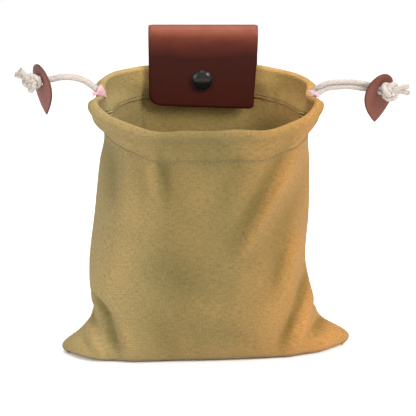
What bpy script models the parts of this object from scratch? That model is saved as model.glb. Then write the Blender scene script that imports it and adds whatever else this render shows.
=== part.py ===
"""Treat pouch: a canvas drawstring pouch with a leather belt flap, for training treats.

Metres, +Z up, +Y towards the wearer's hip.  The pouch stands on its floor at z = 0,
with its side seams in the plane y = 0 and its mouth held open.
"""
import math

import bmesh
import bpy
from mathutils import Matrix, Vector

# Canvas walls
CANVAS = 0.0012
EDGE = 0.0015                # distance of each wall's side edge from the seam plane
RIM_SIDE = 0.247             # height of the rim at the side seams
RIM_TILT = 0.25              # rise of the rim towards the back
RIM_SAG = 0.8                # how much the rim falls off away from the seams, per metre squared
HALF_WIDTH = ((0, 0.134), (0.020, 0.118), (0.041, 0.1008), (0.065, 0.1002), (0.095, 0.098),
              (0.140, 0.0955), (0.190, 0.0925), (0.212, 0.0915), (0.232, 0.0965), (RIM_SIDE, 0.0985))
FRONT_DEPTH = ((0, 0.0305), (0.050, 0.043), (0.120, 0.047), (0.205, 0.0485), (RIM_SIDE, 0.0545))
BACK_DEPTH = ((0, 0.0305), (0.050, 0.0405), (0.100, 0.0445), (0.150, 0.0470), (RIM_SIDE, 0.0478))
EAR_HEIGHT = 0.045           # the pointed bottom corners blend into the round body by here
COLUMNS = 30

# Hem channel round the mouth, with the cord slit at each side seam
HEM = 0.030
CHANNEL = 0.0058
FOLD_RADIUS = CHANNEL / 2 + CANVAS
SLIT = 0.0053                # half width of the slit
SLIT_DEPTH = 0.014
SLIT_END = 0.025

# Drawcords
CORD = 0.0045
PAIR = 0.0024                # half the spacing of the two cords of a pair
GAP = 0.0003
UPPER, LOWER = 0.0045, 0.0098   # depth of the two cords below the rim
BACK_DROP = 0.0115           # the cords pass under the rivets and the snap at the back
BEND = 0.0035                # radius at which the cords turn out through the slit
LEAD = 0.0010
FIRST_ANGLE = 0.15           # where the cords leave the channel for the bend, from the seam

# Leather strap: back leather, fold and flap
LEATHER = 0.0025
STRAP_HALF = 0.0488
STRAP_X = -0.0025            # the strap sits a little left of the middle
STRAP_BOTTOM = 0.165
STRAP_INNER_Y = 0.0496
BELT_SEAT = (0.2595, 0.2850)   # height of the stretch that a belt bears on
BELT_WEAR = 0.0002
FLAP_Y = 0.0343              # front face of the hanging flap
FLAP_BOTTOM = 0.222
FLAP_CORNER = 0.009
FOLD_Z = 0.2871
FOLD_Y = (STRAP_INNER_Y + LEATHER + FLAP_Y) / 2
FOLD_OUTER = STRAP_INNER_Y + LEATHER - FOLD_Y
HINGE_Y = FLAP_Y + LEATHER / 2
FOLD_END = 0.0018            # the fold stops this far short of the flap, where the leather flexes

# Snap and rivets
SNAP_X, SNAP_Z = STRAP_X - 0.001, 0.247
CAP_RIM, CAP_CROWN = 0.0008, 0.0032
CAP_POST, CAP_HOLE = 0.0014, 0.0018
CAP_RADIUS = 0.0097
POST = 0.0018
POST_HOLE = 0.0022
RIVET_X, RIVET_ROWS = 0.037, (0.247, 0.178)
RIVETS = tuple((STRAP_X + sign * RIVET_X, z) for z in RIVET_ROWS for sign in (-1, 1))
RIVET_HEAD = 0.0045

# Leather pull tabs
TAB_LENGTH, TAB_HALF, TAB_THICK = 0.047, 0.0155, 0.0022
TAB_WIDEST = 0.42
TAB_HOLE = 0.0058
TAB_HOLE_DOWN = 0.015        # hole centre below the rounded top

# Each side: exit sign, cord depth, tab hole centre, the tab's outward heading and pitch, knot, tails.
SIDES = {
    "left": {
        "sign": -1,
        "depth": UPPER,
        "hole": (-0.1438, -0.0025, 0.2570),
        "turn": 33,
        "pitch": 10,
        "route": ((-0.1005, 0, 0.2427), (-0.1065, 0, 0.2500), (-0.1155, 0, 0.2570),
                  (-0.1260, 0, 0.2590), (-0.1356, -0.0008, 0.2577), (-0.1438, -0.0025, 0.2570),
                  (-0.1453, -0.0029, 0.2569)),
        "twist": 0,
        "knot": (-0.1525, -0.0070, 0.2565),
        "tails": ((-0.1615, -0.0105, 0.2660), (-0.1630, -0.0050, 0.2625)),
    },
    "right": {
        "sign": 1,
        "depth": LOWER,
        "hole": (0.1522, -0.0045, 0.2495),
        "turn": 57,
        "pitch": 14,
        "route": ((0.1005, 0, 0.2374), (0.1060, 0, 0.2450), (0.1140, 0, 0.2515),
                  (0.1270, 0, 0.2530), (0.1390, -0.0004, 0.2513), (0.1460, -0.0018, 0.2502),
                  (0.1522, -0.0045, 0.2495), (0.1535, -0.0053, 0.2494)),
        "twist": 90,
        "knot": (0.1612, -0.0098, 0.2497),
        "tails": ((0.1742, -0.0128, 0.2545), (0.1752, -0.0100, 0.2465)),
    },
}


# ---------------------------------------------------------------- shared tools

def clear_scene():
    for item in list(bpy.data.objects):
        bpy.data.objects.remove(item, do_unlink=True)


def smooth(x):
    x = min(max(x, 0.0), 1.0)
    return x * x * (3 - 2 * x)


def mix(a, b, k):
    return a + (b - a) * k


def along(keys, at):
    """Smooth curve through (position, value) keys."""
    slopes = []
    for i in range(len(keys)):
        lo, hi = keys[max(i - 1, 0)], keys[min(i + 1, len(keys) - 1)]
        slopes.append((hi[1] - lo[1]) / (hi[0] - lo[0]))
    at = min(max(at, keys[0][0]), keys[-1][0])
    i = next(i for i in range(len(keys) - 1) if at <= keys[i + 1][0])
    (x0, y0), (x1, y1) = keys[i], keys[i + 1]
    w = x1 - x0
    k = (at - x0) / w
    rise = y1 - y0
    return (y0 + k * k * (3 - 2 * k) * rise + w * slopes[i] * k * (1 - k) ** 2
            - w * slopes[i + 1] * k * k * (1 - k))


def curve_through(points, spacing):
    """Smooth curve through points, as Vectors at about the given spacing."""
    points = [Vector(point) for point in points]
    reach = [0.0]
    for a, b in zip(points, points[1:]):
        reach.append(reach[-1] + (b - a).length)
    keys = [[(at, point[axis]) for at, point in zip(reach, points)] for axis in range(3)]
    count = math.ceil(reach[-1] / spacing)
    return [Vector([along(keys[axis], reach[-1] * i / count) for axis in range(3)]) for i in range(count + 1)]


def make_material(name, colour, rough, metal=0.0):
    material = bpy.data.materials.new(name)
    material.use_nodes = True
    shader = material.node_tree.nodes["Principled BSDF"]
    shader.inputs["Base Color"].default_value = (*colour, 1)
    shader.inputs["Roughness"].default_value = rough
    shader.inputs["Metallic"].default_value = metal
    return material


def add_mesh(name, bm, material, origin=(0, 0, 0), sharp=35):
    """New object from a bmesh in world coordinates, with its origin moved to the given point."""
    bmesh.ops.recalc_face_normals(bm, faces=bm.faces)
    bm.transform(Matrix.Translation(-Vector(origin)))
    mesh = bpy.data.meshes.new(name)
    bm.to_mesh(mesh)
    bm.free()
    mesh.materials.append(material)
    mesh.shade_smooth()
    mesh.set_sharp_from_angle(angle=math.radians(sharp))
    item = bpy.data.objects.new(name, mesh)
    item.location = origin
    bpy.context.scene.collection.objects.link(item)
    return item


def loft(bm, rings):
    """Closed solid through rings with equal vertex counts."""
    rows = [[bm.verts.new(p) for p in ring] for ring in rings]
    for low, high in zip(rows, rows[1:]):
        for i in range(len(low)):
            j = (i + 1) % len(low)
            bm.faces.new((low[i], low[j], high[j], high[i]))
    bm.faces.new(rows[0])
    bm.faces.new(rows[-1])


def disc_stack(bm, centre, axis, profile, sides=20):
    """Solid turned about axis from (distance along axis, radius) pairs."""
    turn = Vector(axis).to_track_quat("Z", "Y").to_matrix()
    centre = Vector(centre)
    rings = []
    for height, radius in profile:
        ring = []
        for i in range(sides):
            a = 2 * math.pi * i / sides
            ring.append(centre + turn @ Vector((radius * math.cos(a), radius * math.sin(a), height)))
        rings.append(ring)
    loft(bm, rings)


def cutter(name, bm):
    item = add_mesh(name, bm, MATERIALS["steel"])
    item.hide_render = True
    item.display_type = "WIRE"
    return item


def combine(item, other, operation):
    modifier = item.modifiers.new(operation.lower() + "_" + other.name, "BOOLEAN")
    modifier.operation = operation
    modifier.solver = "EXACT"
    modifier.object = other


def post_hole(name, x, z, y_low, y_high, radius=POST_HOLE):
    bm = bmesh.new()
    disc_stack(bm, (x, y_low, z), (0, 1, 0), ((0, radius), (y_high - y_low, radius)), sides=16)
    return cutter(name, bm)


# ---------------------------------------------------------------- canvas walls

def rim_height(y):
    return RIM_SIDE + RIM_TILT * y - RIM_SAG * y * y


def cross_section(theta, height, face):
    """Outer surface of a wall: theta runs from the right seam (0) to the left one (pi)."""
    keys, flatness = (FRONT_DEPTH, 2) if face < 0 else (BACK_DEPTH, 4)
    c = min(1.0, abs(math.cos(theta)))
    body = math.sqrt(max(0.0, 1 - c ** flatness))
    corner = 1 - c ** 4
    depth = along(keys, height) * mix(corner, body, smooth(height / EAR_HEIGHT))
    return along(HALF_WIDTH, height) * math.cos(theta), face * (EDGE + depth)


def wall_point(theta, below_rim, face):
    """Point of the outer surface a given distance below the rim, and the way inward."""
    def spot(t):
        rim_y = cross_section(t, RIM_SIDE, face)[1]
        rim = rim_height(rim_y)
        below = below_rim * mix(1, rim / RIM_SIDE, smooth((below_rim - HEM) / 0.2))
        x, y = cross_section(t, (rim - below) * RIM_SIDE / rim, face)
        return Vector((x, y, rim - below))
    step = 0.01
    here = spot(theta)
    run = spot(min(theta + step, math.pi)) - spot(max(theta - step, 0.0))
    inward = Vector((run.y, -run.x, 0)) * -face
    return here, inward.normalized()


def edge_angle(below_rim, face):
    """Angle at which a wall ends, wider where the slit lets the cords out."""
    open_share = smooth((SLIT_END - below_rim) / (SLIT_END - SLIT_DEPTH))
    half = mix(EDGE, SLIT, open_share)
    depth = FRONT_DEPTH[-1][1] if face < 0 else BACK_DEPTH[-1][1]
    if face < 0:
        return math.asin((half - EDGE) / depth)
    share = (half - EDGE) / depth
    return math.acos((1 - share * share) ** 0.25)


def wall_rows(face):
    """Rows of the folded wall: (distance below the rim, offset inward) from floor to hem edge."""
    tall = RIM_SIDE
    rows = []
    low = (tall, 0.236, 0.227, 0.217, 0.206, 0.194, 0.178, 0.155, 0.125, 0.095, 0.068, 0.048,
           0.038, 0.031, 0.025, 0.020, 0.015, 0.009)
    for below in low:
        rows.append((below, 0.0))
    for i in range(7):
        a = math.pi * i / 6
        rows.append((FOLD_RADIUS * (1 - math.sin(a)), FOLD_RADIUS * (1 - math.cos(a))))
    for below in (0.009, 0.015, 0.021, 0.0245, 0.027, HEM):
        pinch = smooth((below - 0.0235) / (HEM - 0.0235))
        rows.append((below, mix(2 * FOLD_RADIUS, 2 * CANVAS + 2 * GAP, pinch)))
    return rows


def make_wall(name, face, material):
    """Wall folded over at the rim: an outer grid, an inner grid one cloth thickness in, and edges."""
    bm = bmesh.new()
    grid = []
    for below, offset in wall_rows(face):
        start = edge_angle(below, face)
        row = []
        for i in range(COLUMNS + 1):
            theta = start + (math.pi - 2 * start) * i / COLUMNS
            point, inward = wall_point(theta, below, face)
            if below == RIM_SIDE:
                point.z = 0.0
            row.append(bm.verts.new(point + inward * offset))
        grid.append(row)
    skin(bm, grid, face < 0)
    bm.normal_update()
    lining = [[bm.verts.new(vert.co - vert.normal * CANVAS) for vert in row] for row in grid]
    for vert in lining[0]:
        vert.co.z = 0.0
    skin(bm, lining, face > 0)
    for row, inner in ((grid[0], lining[0]), (grid[-1], lining[-1])):
        skin(bm, (row, inner), face > 0)
    for column in (0, -1):
        skin(bm, ([row[column] for row in grid], [row[column] for row in lining]), face > 0)
    return add_mesh(name, bm, material)


def skin(bm, grid, flip):
    """Quads between neighbouring rows of vertices."""
    for low, high in zip(grid, grid[1:]):
        for i in range(len(low) - 1):
            quad = (low[i], low[i + 1], high[i + 1], high[i])
            bm.faces.new(tuple(reversed(quad)) if flip else quad)


def make_floor(material):
    """Pointed oval floor, clear of the walls' inner faces."""
    tip, inset = 0.122, 0.0012
    count = 24
    edge = []
    for i in range(count + 1):
        x = -tip + 2 * tip * i / count
        half = FRONT_DEPTH[0][1] * (1 - (abs(x) / HALF_WIDTH[0][1]) ** 4) - inset
        edge.append((x, half))
    outline = [(x, -half) for x, half in edge] + [(x, half) for x, half in reversed(edge)]
    bm = bmesh.new()
    loft(bm, [[(x, y, z) for x, y in outline] for z in (0.0, CANVAS)])
    return add_mesh("pouch_floor", bm, material)


def make_side_seam(side, material):
    """The two walls' seam allowances, pressed together and overlocked, inside each side seam."""
    sign = SIDES[side]["sign"]
    half, width = 0.0010, 0.0095
    rings = []
    for i in range(15):
        z = 0.005 + (0.208 - 0.005) * i / 14
        outer = along(HALF_WIDTH, z) - mix(0.0065, 0.0017, smooth(z / EAR_HEIGHT))
        rings.append([(sign * x, y, z) for x, y in
                      ((outer, -half), (outer, half), (outer - width, half), (outer - width, -half))])
    bm = bmesh.new()
    loft(bm, rings)
    return add_mesh(side + "_side_seam", bm, material)


# ---------------------------------------------------------------- drawcords

def tube(name, points, material, radius=CORD / 2, origin=(0, 0, 0)):
    data = bpy.data.curves.new(name, "CURVE")
    data.dimensions = "3D"
    data.bevel_depth = radius
    data.bevel_resolution = 2
    data.use_fill_caps = True
    spline = data.splines.new("POLY")
    spline.points.add(len(points) - 1)
    for slot, point in zip(spline.points, points):
        slot.co = (*(Vector(point) - Vector(origin)), 1)
    data.materials.append(material)
    item = bpy.data.objects.new(name, data)
    item.location = origin
    bpy.context.scene.collection.objects.link(item)
    return item


def channel_point(theta, depth, face):
    """Point in the middle of the hem channel."""
    drop = BACK_DROP * smooth(math.sin(theta) * 2.4 - 0.55) if face > 0 else 0.0
    below = depth + drop
    point, inward = wall_point(theta, below, face)
    return point + inward * FOLD_RADIUS


def bend_x(side):
    """Distance from the middle at which a pair's cords turn out of the channel."""
    return wall_point(0.0, SIDES[side]["depth"], -1)[0].x - FOLD_RADIUS - 0.0006


def channel_run(side, face):
    """A cord's stretch in one channel, from its exit bend to the far side seam."""
    spec = SIDES[side]
    sign = spec["sign"]
    exit_height = spec["route"][0][2]
    points = []
    centre_x = sign * bend_x(side)
    points.append((centre_x + sign * (BEND + LEAD), face * PAIR, exit_height))
    for i in range(5):
        a = math.pi / 2 * i / 4
        x = centre_x + sign * BEND * (1 - math.sin(a))
        y = face * (PAIR + BEND * (1 - math.cos(a)))
        z = mix(exit_height, rim_height(y) - spec["depth"], smooth(i / 4))
        points.append((x, y, z))
    steps = 60
    first = FIRST_ANGLE
    for i in range(steps + 1):
        share = mix(first, math.pi, i / steps) if sign > 0 else mix(math.pi - first, 0, i / steps)
        points.append(channel_point(share, spec["depth"], face))
    end = points[-1]
    points.append((end[0], face * GAP / 2, end[2]))
    return points


def exposed_pair(side):
    """The two stretches between the pouch and the knot, side by side, twisted by 'twist' degrees."""
    spec = SIDES[side]
    sign = spec["sign"]
    start_x = bend_x(side) + BEND + LEAD + GAP
    exit_height = spec["route"][0][2]
    start = Vector((sign * start_x, 0, exit_height))
    lead = start + Vector((sign * LEAD, 0, 0))
    centre = [start] + curve_through((lead,) + spec["route"], 2 * CORD / 3)
    pair = {"a": [], "b": []}
    for i, point in enumerate(centre):
        ahead = centre[min(i + 1, len(centre) - 1)] - centre[max(i - 1, 0)]
        ahead = Vector((sign, 0, 0)) if i < 2 else ahead.normalized()
        across = (Vector((0, 1, 0)) - ahead * ahead.y).normalized()
        above = ahead.cross(across) * sign
        turn = math.radians(spec["twist"]) * smooth((abs(point.x) - 0.1005) / 0.014)
        offset = (across * math.cos(turn) + above * math.sin(turn)) * PAIR
        pair["a"].append(point - offset)
        pair["b"].append(point + offset)
    return pair


def make_knot(side, material):
    """Overhand knot of both cords, with its two cut tails, as one lump."""
    spec = SIDES[side]
    centre = Vector(spec["knot"])
    bm = bmesh.new()
    bmesh.ops.create_uvsphere(bm, u_segments=16, v_segments=10, radius=1.0)
    bm.transform(Matrix.Translation(centre) @ Matrix.Diagonal((0.0072, 0.0068, 0.0074, 1)))
    knot = add_mesh(side + "_knot", bm, material, origin=centre)
    for i, tip in enumerate(spec["tails"]):
        tail = Vector(tip) - centre
        bm = bmesh.new()
        start = centre + tail.normalized() * 0.002 + Vector((0, (i - 0.5) * 0.003, 0))
        reach = (Vector(tip) - start)
        disc_stack(bm, start, reach, ((0, CORD / 2), (reach.length, CORD / 2)), sides=10)
        combine(knot, cutter(side + "_tail_form_%d" % (i + 1), bm), "UNION")
    return knot


def tab_axes(side):
    """The tab's outward normal and its upward direction."""
    spec = SIDES[side]
    turn, pitch = math.radians(spec["turn"]), math.radians(spec["pitch"])
    level = Vector((spec["sign"] * math.cos(turn), -math.sin(turn), 0))
    normal = level * math.cos(pitch) - Vector((0, 0, math.sin(pitch)))
    up = level * math.sin(pitch) + Vector((0, 0, math.cos(pitch)))
    return normal, up


def make_tab(side, material):
    """Leaf-shaped leather pull: round at the top, pointed at the bottom, one hole for both cords."""
    normal, up = tab_axes(side)
    across = up.cross(normal)
    hole = Vector(SIDES[side]["hole"])
    widest = TAB_WIDEST * TAB_LENGTH
    right_edge = []
    for i in range(11):
        a = math.pi / 2 * i / 10
        right_edge.append((TAB_HALF * math.sin(a), widest * (1 - math.cos(a))))
    for i in range(1, 10):
        k = i / 10
        right_edge.append((TAB_HALF * (1 - k ** 1.9), widest + (TAB_LENGTH - widest) * k))
    outline = right_edge + [(0, TAB_LENGTH)] + [(-x, s) for x, s in reversed(right_edge[1:])]
    rings = []
    for depth in (-TAB_THICK / 2, TAB_THICK / 2):
        rings.append([hole + across * x + up * (TAB_HOLE_DOWN - s) + normal * depth for x, s in outline])
    bm = bmesh.new()
    loft(bm, rings)
    tab = add_mesh(side + "_tab", bm, material, origin=hole)
    bm = bmesh.new()
    disc_stack(bm, hole - normal * 0.004, normal, ((0, TAB_HOLE), (0.008, TAB_HOLE)), sides=24)
    combine(tab, cutter(side + "_tab_hole", bm), "DIFFERENCE")
    return tab


# ---------------------------------------------------------------- leather, snap, rivets

def make_strap_back(material):
    """Leather riveted to the back wall, rising over the rim and folding forward."""
    outer = FOLD_OUTER
    inner = outer - LEATHER
    back = STRAP_INNER_Y + LEATHER
    worn = STRAP_INNER_Y + BELT_WEAR
    path = ((STRAP_BOTTOM, STRAP_INNER_Y), (0.21, STRAP_INNER_Y), (BELT_SEAT[0] - 0.002, STRAP_INNER_Y),
            (BELT_SEAT[0], worn), (BELT_SEAT[1], worn))
    ring_pairs = [((back, z), (y, z)) for z, y in path]
    last = math.pi - FOLD_END / (outer - LEATHER / 2)
    for i in range(15):
        a = last * i / 14
        ring_pairs.append(((FOLD_Y + outer * math.cos(a), FOLD_Z + outer * math.sin(a)),
                           (FOLD_Y + inner * math.cos(a), FOLD_Z + inner * math.sin(a))))
    rings = []
    for (yo, zo), (yi, zi) in ring_pairs:
        half = STRAP_HALF
        below = zo - STRAP_BOTTOM
        if below < FLAP_CORNER:
            half -= FLAP_CORNER * 0.5
        left, right = STRAP_X - half, STRAP_X + half
        rings.append([(left, yo, zo), (right, yo, zo), (right, yi, zi), (left, yi, zi)])
    bm = bmesh.new()
    loft(bm, rings)
    return add_mesh("leather_back", bm, material)


def make_flap(material):
    """Front flap: hangs from the fold inside the mouth, with rounded lower corners."""
    half_thick = LEATHER / 2
    rings = []

    def rectangle(z, half, thick):
        left, right = STRAP_X - half, STRAP_X + half
        rings.append([(left, HINGE_Y - thick, z), (right, HINGE_Y - thick, z),
                      (right, HINGE_Y + thick, z), (left, HINGE_Y + thick, z)])

    for i in range(6):
        a = math.pi / 2 * i / 6
        half = STRAP_HALF - FLAP_CORNER * (1 - math.sin(a))
        rectangle(FLAP_BOTTOM + FLAP_CORNER * (1 - math.cos(a)), half, half_thick)
    rectangle(FLAP_BOTTOM + FLAP_CORNER, STRAP_HALF, half_thick)
    rectangle(0.26, STRAP_HALF, half_thick)
    for i in range(5):
        a = math.radians(80) * i / 4
        rectangle(FOLD_Z + half_thick * math.sin(a), STRAP_HALF, half_thick * math.cos(a))
    bm = bmesh.new()
    loft(bm, rings)
    return add_mesh("leather_flap", bm, material, origin=(0, HINGE_Y, FOLD_Z))


def make_snap(black, steel):
    """Snap fastener: cap and socket on the flap, stud and its back button on the pouch."""
    hinge = (0, HINGE_Y, FOLD_Z)
    front = FLAP_Y - GAP
    rear = FLAP_Y + LEATHER + GAP
    bm = bmesh.new()
    dome = []
    for i in range(7):
        a = math.radians(88) * i / 6
        dome.append((-CAP_RIM - CAP_CROWN * math.sin(a), CAP_RADIUS * math.cos(a)))
    profile = [(rear - front + GAP, CAP_POST), (0.0, CAP_POST), (0.0, CAP_RADIUS - 0.0004)] + dome
    disc_stack(bm, (SNAP_X, front, SNAP_Z), (0, 1, 0), profile, sides=28)
    add_mesh("snap_cap", bm, black, origin=hinge)
    bm = bmesh.new()
    disc_stack(bm, (SNAP_X, rear, SNAP_Z), (0, 1, 0),
               ((0.0002, 0.0060), (0.0022, 0.0060), (0.0025, 0.0056), (0.0025, 0.0032), (0.0010, 0.0032),
                (0.0010, 0.0018), (0.0002, 0.0018)), sides=24)
    socket = open_ring(bm)
    add_mesh("snap_socket", socket, steel, origin=hinge)
    hem_face = STRAP_INNER_Y - GAP - 2 * FOLD_RADIUS - GAP
    bm = bmesh.new()
    disc_stack(bm, (SNAP_X, hem_face, SNAP_Z), (0, 1, 0),
               ((-0.0026, 0.0020), (-0.0024, 0.0026), (-0.0010, 0.0026), (-0.0010, 0.0050),
                (-0.0002, 0.0050), (-0.0002, POST), (STRAP_INNER_Y + LEATHER - hem_face + 0.0004, POST)),
               sides=20)
    add_mesh("snap_stud", bm, steel)
    bm = bmesh.new()
    disc_stack(bm, (SNAP_X, STRAP_INNER_Y + LEATHER, SNAP_Z), (0, 1, 0),
               ((0.0007, 0.0060), (0.0012, 0.0060), (0.0020, 0.0045), (0.0022, 0.0020)), sides=24)
    add_mesh("snap_back_button", bm, black)


def open_ring(bm):
    """Turn a stack whose first and last rings should meet into a ring without end caps."""
    caps = [face for face in bm.faces if len(face.verts) > 4]
    edges = [edge for face in caps for edge in face.edges]
    bmesh.ops.delete(bm, geom=caps, context="FACES_ONLY")
    bmesh.ops.bridge_loops(bm, edges=edges)
    return bm


def make_rivets(steel):
    """Rivets through the back wall: head outside the leather, washer inside the pouch."""
    for i, (x, z) in enumerate(RIVETS):
        through_hem = z > 0.2
        inside = STRAP_INNER_Y - 0.0015 - (2 * FOLD_RADIUS if through_hem else CANVAS)
        outside = STRAP_INNER_Y + LEATHER
        bm = bmesh.new()
        disc_stack(bm, (x, outside, z), (0, 1, 0),
                   ((inside - outside - 0.0016, POST), (0.0003, POST), (0.0003, RIVET_HEAD),
                    (0.0009, 0.0044), (0.0017, 0.0030), (0.0020, 0.0012)), sides=16)
        add_mesh("rivet_%d" % (i + 1), bm, steel)
        bm = bmesh.new()
        disc_stack(bm, (x, inside, z), (0, 1, 0),
                   ((-0.0014, RIVET_HEAD), (-0.0006, RIVET_HEAD), (-0.0006, POST_HOLE), (-0.0014, POST_HOLE)), sides=16)
        add_mesh("rivet_washer_%d" % (i + 1), open_ring(bm), steel)


# ---------------------------------------------------------------- the pouch

clear_scene()
MATERIALS = {
    "canvas": make_material("khaki canvas", (0.36, 0.24, 0.10), 0.9),
    "cotton": make_material("off-white cotton", (0.62, 0.56, 0.50), 0.9),
    "leather": make_material("red-brown leather", (0.075, 0.018, 0.010), 0.45),
    "tab": make_material("light red-brown leather", (0.26, 0.12, 0.09), 0.6),
    "black": make_material("black enamelled snap", (0.02, 0.018, 0.016), 0.35),
    "steel": make_material("nickel-plated steel", (0.5, 0.49, 0.47), 0.3, 1.0),
    "thread": make_material("overlock thread", (0.42, 0.32, 0.12), 0.9),
}

front = make_wall("front_panel", -1, MATERIALS["canvas"])
back = make_wall("back_panel", 1, MATERIALS["canvas"])
make_floor(MATERIALS["canvas"])
strap = make_strap_back(MATERIALS["leather"])
flap = make_flap(MATERIALS["leather"])
make_snap(MATERIALS["black"], MATERIALS["steel"])
make_rivets(MATERIALS["steel"])

for number, (x, z) in enumerate(RIVETS + ((SNAP_X, SNAP_Z),)):
    hole = post_hole("post_hole_%d" % (number + 1), x, z, 0.036, 0.056)
    combine(back, hole, "DIFFERENCE")
    combine(strap, hole, "DIFFERENCE")
combine(flap, post_hole("cap_post_hole", SNAP_X, SNAP_Z, FLAP_Y - 0.002, FLAP_Y + LEATHER + 0.002, CAP_HOLE),
        "DIFFERENCE")

for side in SIDES:
    make_side_seam(side, MATERIALS["thread"])
    tube(side + "_cord_front_run", channel_run(side, -1), MATERIALS["cotton"])
    tube(side + "_cord_back_run", channel_run(side, 1), MATERIALS["cotton"])
    for letter, points in exposed_pair(side).items():
        tube(side + "_cord_" + letter, points, MATERIALS["cotton"], origin=points[0])
    make_tab(side, MATERIALS["tab"])
    make_knot(side, MATERIALS["cotton"])
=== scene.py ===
"""Looks of the treat pouch: sewn canvas, braided drawcords, leather strap and tabs, snap, studio.

Metres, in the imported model's frame: +Z up, +Y towards the wearer's hip, the seams near y = 0.
"""
import math
import random

import bmesh
import bpy
import numpy as np
from mathutils import Matrix, Vector, noise


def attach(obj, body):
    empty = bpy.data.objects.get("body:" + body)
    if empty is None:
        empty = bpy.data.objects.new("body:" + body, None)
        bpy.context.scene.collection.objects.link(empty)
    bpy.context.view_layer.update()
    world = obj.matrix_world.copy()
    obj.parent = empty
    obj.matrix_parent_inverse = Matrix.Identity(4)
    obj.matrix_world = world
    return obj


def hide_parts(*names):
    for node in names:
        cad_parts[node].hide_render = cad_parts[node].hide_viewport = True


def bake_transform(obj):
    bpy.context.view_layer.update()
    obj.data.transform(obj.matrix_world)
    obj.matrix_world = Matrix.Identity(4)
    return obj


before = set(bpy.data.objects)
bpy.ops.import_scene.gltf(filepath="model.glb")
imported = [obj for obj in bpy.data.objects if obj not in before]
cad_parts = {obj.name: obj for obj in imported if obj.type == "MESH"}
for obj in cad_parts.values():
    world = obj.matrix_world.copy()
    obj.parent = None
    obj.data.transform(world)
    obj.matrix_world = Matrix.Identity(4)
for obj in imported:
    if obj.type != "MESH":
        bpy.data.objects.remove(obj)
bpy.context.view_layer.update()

# Pouch shape.  Half widths run from the base up, one list for each side of the pouch.
RIM_SIDE = 0.247
RIM_TILT, RIM_SAG = 0.309, 1.38   # rise of the rim towards the back, fall away from the seams
LEFT_WIDTH = ((0, 0.1335), (0.010, 0.1315), (0.022, 0.1165), (0.040, 0.1025), (0.056, 0.1050),
              (0.093, 0.1055), (0.139, 0.1000), (0.185, 0.0945), (0.209, 0.0900), (0.228, 0.0950),
              (0.240, 0.0960), (RIM_SIDE, 0.0945))
RIGHT_WIDTH = ((0, 0.1330), (0.012, 0.1320), (0.028, 0.1090), (0.042, 0.0985), (0.057, 0.0970),
               (0.093, 0.0905), (0.139, 0.0925), (0.185, 0.0920), (0.210, 0.0905), (0.228, 0.0945),
               (0.240, 0.0955), (RIM_SIDE, 0.0945))
FRONT_DEPTH = ((0, 0.0315), (0.020, 0.0370), (0.055, 0.0440), (0.120, 0.0480), (0.205, 0.0490),
               (0.222, 0.0525), (RIM_SIDE, 0.0555))
BACK_DEPTH = ((0, 0.0310), (0.050, 0.0410), (0.100, 0.0450), (0.150, 0.0475), (RIM_SIDE, 0.0488))
EAR_HEIGHT = 0.048
EAR_SWEEP = 0.009            # the right corner lies further back than the left one
LOBE, LOBE_REACH = 0.0090, 0.010   # the hem's ends bulge on either side of each cord exit
CLOTH, FLOOR_CLOTH = 0.0009, 0.0005
CLOTH_WIDTH = 0.255          # of a wall laid flat, for its weave
HEM, HEM_THICK, HEM_EDGE = 0.030, 0.0068, 0.0026
COLUMNS, WALL_ROWS = 150, 150


# ---------------------------------------------------------------- shared tools

def smooth(x):
    x = min(max(x, 0.0), 1.0)
    return x * x * (3 - 2 * x)


def mix(a, b, k):
    return a + (b - a) * k


def bump(x, reach):
    return math.exp(-(x / reach) ** 2)


def along(keys, at):
    """Smooth curve through (position, value) keys."""
    slopes = []
    for i in range(len(keys)):
        lo, hi = keys[max(i - 1, 0)], keys[min(i + 1, len(keys) - 1)]
        slopes.append((hi[1] - lo[1]) / (hi[0] - lo[0]))
    at = min(max(at, keys[0][0]), keys[-1][0])
    i = next(i for i in range(len(keys) - 1) if at <= keys[i + 1][0])
    (x0, y0), (x1, y1) = keys[i], keys[i + 1]
    w = x1 - x0
    k = (at - x0) / w
    return (y0 + k * k * (3 - 2 * k) * (y1 - y0) + w * slopes[i] * k * (1 - k) ** 2
            - w * slopes[i + 1] * k * k * (1 - k))


def reach_along(points):
    """Distance from the first point to each point, along the way."""
    reach = [0.0]
    for a, b in zip(points, points[1:]):
        reach.append(reach[-1] + (b - a).length)
    return reach


def curve_through(points, spacing):
    """Smooth curve through points, as Vectors at about the given spacing."""
    points = [Vector(point) for point in points]
    reach = reach_along(points)
    keys = [[(at, point[axis]) for at, point in zip(reach, points)] for axis in range(3)]
    count = max(2, math.ceil(reach[-1] / spacing))
    return [Vector([along(keys[axis], reach[-1] * i / count) for axis in range(3)]) for i in range(count + 1)]


def new_object(name, mesh, material):
    mesh.materials.append(material)
    item = bpy.data.objects.new(name, mesh)
    bpy.context.scene.collection.objects.link(item)
    return item


def grid_object(name, rows, material, uv=None, wrap=False, caps=False, flip=False):
    """Surface through rows of points; uv(row, column) gives its texture coordinates."""
    bm = bmesh.new()
    layer = bm.loops.layers.uv.new("UVMap")
    grid = [[bm.verts.new(point) for point in row] for row in rows]
    width = len(grid[0])
    for r in range(len(grid) - 1):
        for c in range(width if wrap else width - 1):
            corners = [(r, c), (r, c + 1), (r + 1, c + 1), (r + 1, c)]
            if flip:
                corners.reverse()
            face = bm.faces.new([grid[i][j % width] for i, j in corners])
            face.smooth = True
            if uv:
                for loop, corner in zip(face.loops, corners):
                    loop[layer].uv = uv(*corner)
    if caps:
        for ring in (grid[0], grid[-1]):
            bm.faces.new(ring)
        bmesh.ops.recalc_face_normals(bm, faces=bm.faces)
    mesh = bpy.data.meshes.new(name)
    bm.to_mesh(mesh)
    bm.free()
    return new_object(name, mesh, material)


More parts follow.
